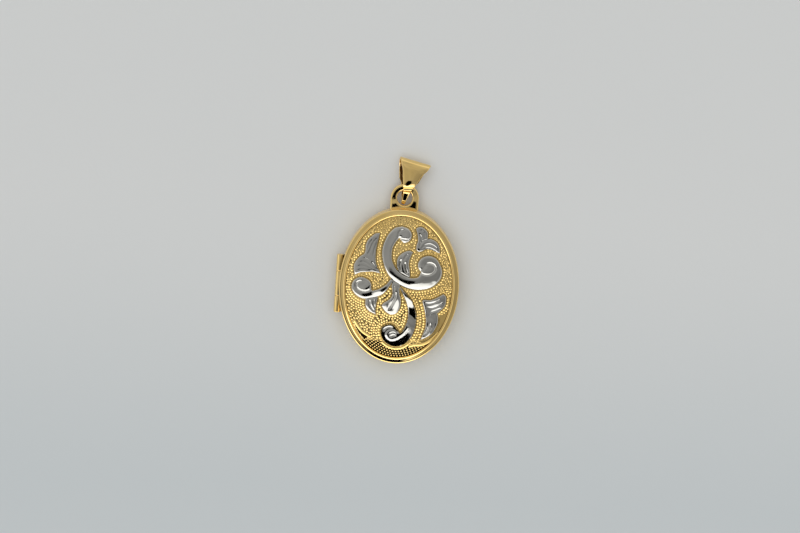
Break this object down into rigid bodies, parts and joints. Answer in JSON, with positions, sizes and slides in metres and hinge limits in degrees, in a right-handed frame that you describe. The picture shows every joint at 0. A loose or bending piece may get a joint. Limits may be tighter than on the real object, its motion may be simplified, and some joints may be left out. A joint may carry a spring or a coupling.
{
  "type": "locket",
  "caption": "Oval hinged locket with a crowned, scroll-embossed cover, inner photo frames, a pierced eye and a tapered fold-over bail.",
  "frame": {"origin": "centre of the flat on the back of the case", "axes": "+Z out of the embossed cover, +Y towards the bail, hinge along the -X side"},
  "size_m": [0.0154, 0.0258, 0.0043],
  "materials": {
    "gold": "polished yellow gold",
    "embossed_gold": "stippled and beaded yellow gold, polished on the high spots",
    "white_relief": "polished rhodium-white metal",
    "photo_frame": "brushed yellow gold",
    "window": "thin clear acetate",
    "card": "plain satin card"
  },
  "bodies": {
    "back": {"back_shell": "gold", "back_collar": "gold", "hinge_knuckle_upper": "gold", "hinge_knuckle_lower": "gold", "hinge_pin": "gold", "bail_eye": "gold", "back_photo_card": "card", "back_window": "window", "back_photo_frame": "photo_frame"},
    "cover": {"front_shell": "gold", "embossed_panel": "embossed_gold", "front_bezel": "gold", "front_photo_card": "card", "front_window": "window", "front_photo_frame": "photo_frame", "hinge_knuckle_middle": "gold", "scroll_cluster": "white_relief", "leaf_upper_left": "white_relief", "leaf_upper_right": "white_relief", "leaf_lower_right": "white_relief"},
    "bail": {"bail": "gold"}
  },
  "joints": [
    {"name": "cover_hinge", "type": "hinge", "parent": "back", "child": "cover", "pos_m": [-0.0075, -0.0002, 0.002], "axis": [0, -1, 0], "range_deg": [0, 165]},
    {"name": "bail_swing", "type": "hinge", "parent": "back", "child": "bail", "pos_m": [0.0003, 0.01231, 0.0014], "axis": [0.9744, -0.225, 0], "range_deg": [-50, 90]}
  ]
}
